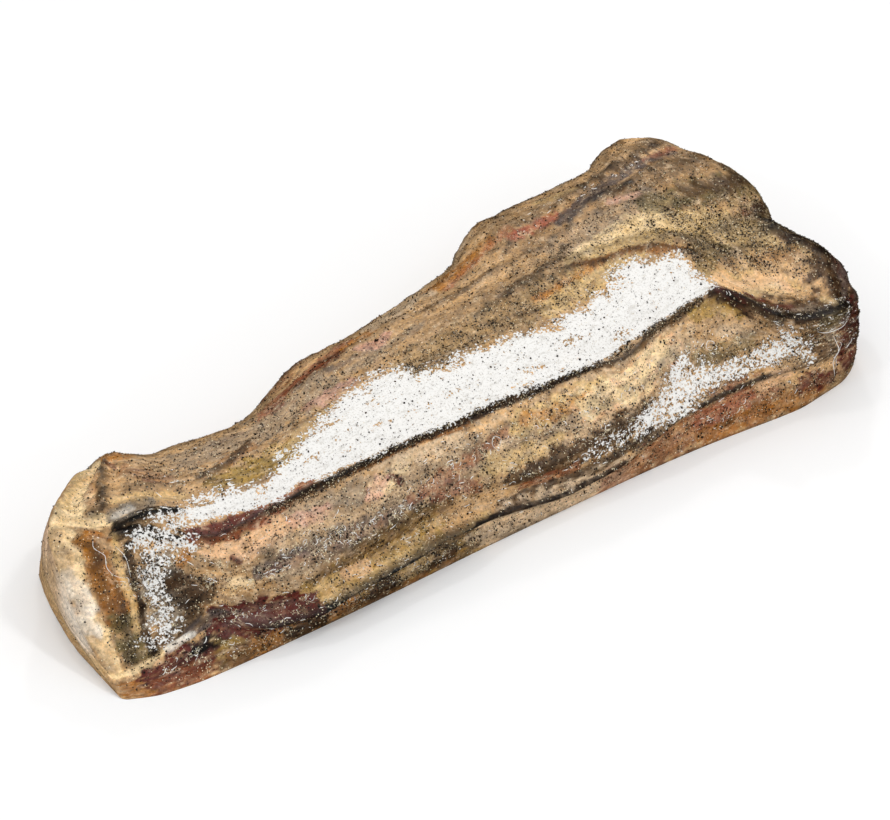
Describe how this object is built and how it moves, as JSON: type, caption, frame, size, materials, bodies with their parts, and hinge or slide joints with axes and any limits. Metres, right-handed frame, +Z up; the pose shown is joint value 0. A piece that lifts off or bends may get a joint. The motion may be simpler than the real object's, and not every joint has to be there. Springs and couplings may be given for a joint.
{
  "type": "pancetta",
  "caption": "Whole flat pancetta: a long folded slab of cured pork belly, narrow and pinched at one end, broad and lobed at the other, peppered, with a flat underside.",
  "frame": {"origin": "middle of the underside's box, on the surface the piece lies on", "axes": "+X along the piece towards its broad end, +Y away from the folded front side, +Z up"},
  "size_m": [0.49, 0.23, 0.0761],
  "materials": {
    "cured_belly": "cured fat and lean under a thin wet gloss, with white powdery bloom and cracked pepper"
  },
  "bodies": {
    "root": {"pancetta": "cured_belly"}
  },
  "joints": []
}
